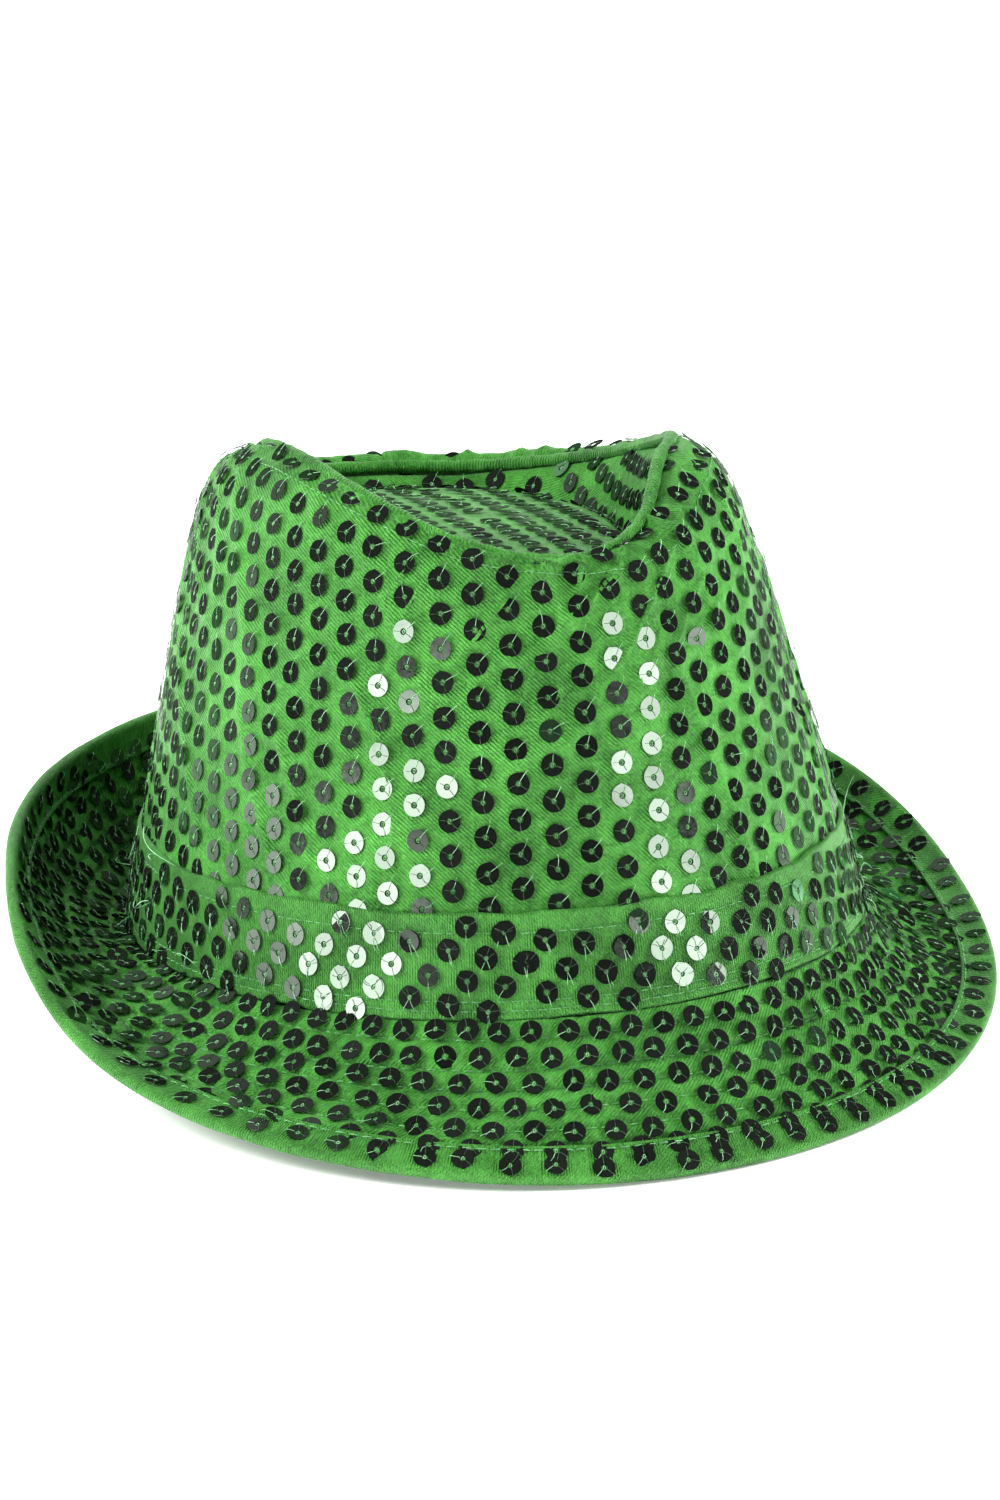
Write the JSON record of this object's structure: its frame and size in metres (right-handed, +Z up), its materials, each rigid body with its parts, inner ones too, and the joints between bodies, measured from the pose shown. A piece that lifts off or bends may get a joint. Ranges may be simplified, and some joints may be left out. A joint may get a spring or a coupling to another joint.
{
  "type": "trilby hat",
  "caption": "Green sequined satin trilby hat with a sunk teardrop crown, a hat band and a bound brim that dips in front and turns up behind.",
  "frame": {"origin": "middle of the hat's footprint, on the surface that the hat stands on, resting on its front brim and the rear of its head opening", "axes": "-Y is the front of the hat, +X the wearer's left, +Z straight up from the surface"},
  "size_m": [0.2394, 0.2594, 0.1328],
  "materials": {
    "sequined_satin": "green satin weave sewn with dark green disc sequins",
    "satin": "plain green satin",
    "buckram": "stiff open-weave interlining",
    "lining_cloth": "thin dark green lining",
    "tape": "woven seam tape",
    "sweatband_cloth": "black ribbed band",
    "sequin": "thin glossy discs",
    "thread": "sewing thread"
  },
  "bodies": {
    "root": {"crown_side_panel": "sequined_satin", "crown_side_buckram": "buckram", "crown_side_lining": "lining_cloth", "crown_tip_panel": "sequined_satin", "crown_tip_buckram": "buckram", "crown_tip_lining": "lining_cloth", "crown_seam_welt": "satin", "brim_top_fabric": "sequined_satin", "brim_buckram": "buckram", "brim_under_fabric": "satin", "brim_edge_binding": "sequined_satin", "hat_band": "sequined_satin", "headline_seam_tape": "tape", "sweatband": "sweatband_cloth"}
  },
  "joints": []
}
